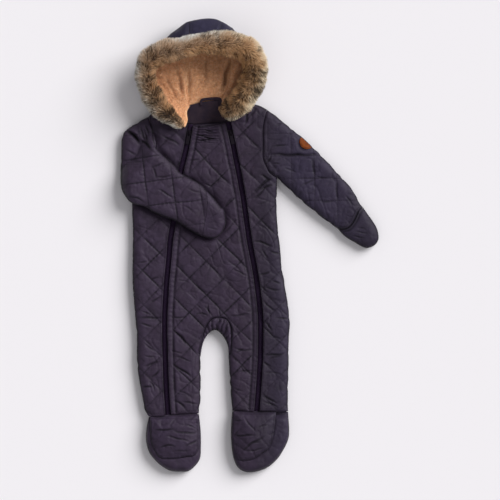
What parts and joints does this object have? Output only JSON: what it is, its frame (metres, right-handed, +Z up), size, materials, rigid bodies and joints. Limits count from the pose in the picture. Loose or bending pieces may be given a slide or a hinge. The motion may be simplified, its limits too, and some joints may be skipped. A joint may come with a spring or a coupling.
{
  "type": "baby snowsuit",
  "caption": "Quilted, padded baby snowsuit with feet and mittens, laid flat front up: zips down the front, hood lying open with fleece lining and fur trim, a sleeve folded over the chest.",
  "frame": {"origin": "middle of the bounding box, on the surface that the suit lies on", "axes": "+X to the wearer's left, +Y from the feet to the hood, +Z up, out of the suit's front"},
  "size_m": [0.4523, 0.7937, 0.0862],
  "materials": {
    "quilted": "quilted polyester, low sheen",
    "plain": "woven polyester, low sheen",
    "fleece": "borg fleece, matt",
    "fur": "faux fur, matt",
    "jersey": "cotton jersey, matt",
    "zip_tape": "woven tape and nylon coil",
    "leather": "vegetable-tanned, satin",
    "metal": "black lacquer, satin"
  },
  "bodies": {
    "garment": {"back": "quilted", "front_center": "quilted", "front_side_r": "quilted", "front_side_l": "quilted", "sleeve_r": "quilted", "sleeve_l": "quilted", "crotch_gusset": "plain", "mitten_r": "plain", "mitten_l": "plain", "foot_upper_r": "plain", "foot_upper_l": "plain", "foot_sole_r": "plain", "foot_sole_l": "plain", "hood_side_r": "plain", "hood_crown": "plain", "hood_side_l": "plain", "lining_r": "fleece", "lining_center": "fleece", "lining_l": "fleece", "fur_trim": "fur", "neck_facing": "jersey", "hang_loop": "zip_tape", "zip_r": "zip_tape", "zip_l": "zip_tape", "patch": "leather", "slider_r": "metal", "slider_l": "metal"},
    "tab_r": {"pull_r": "metal"},
    "tab_l": {"pull_l": "metal"}
  },
  "joints": [
    {"name": "pull_tab_r", "type": "hinge", "parent": "garment", "child": "tab_r", "pos_m": [-0.10559, 0.196, 0.0195], "axis": [-0.9855, 0.1694, 0], "range_deg": [0, 150]},
    {"name": "pull_tab_l", "type": "hinge", "parent": "garment", "child": "tab_l", "pos_m": [-0.03266, 0.196, 0.0195], "axis": [-0.9751, -0.2217, 0], "range_deg": [0, 150]}
  ]
}
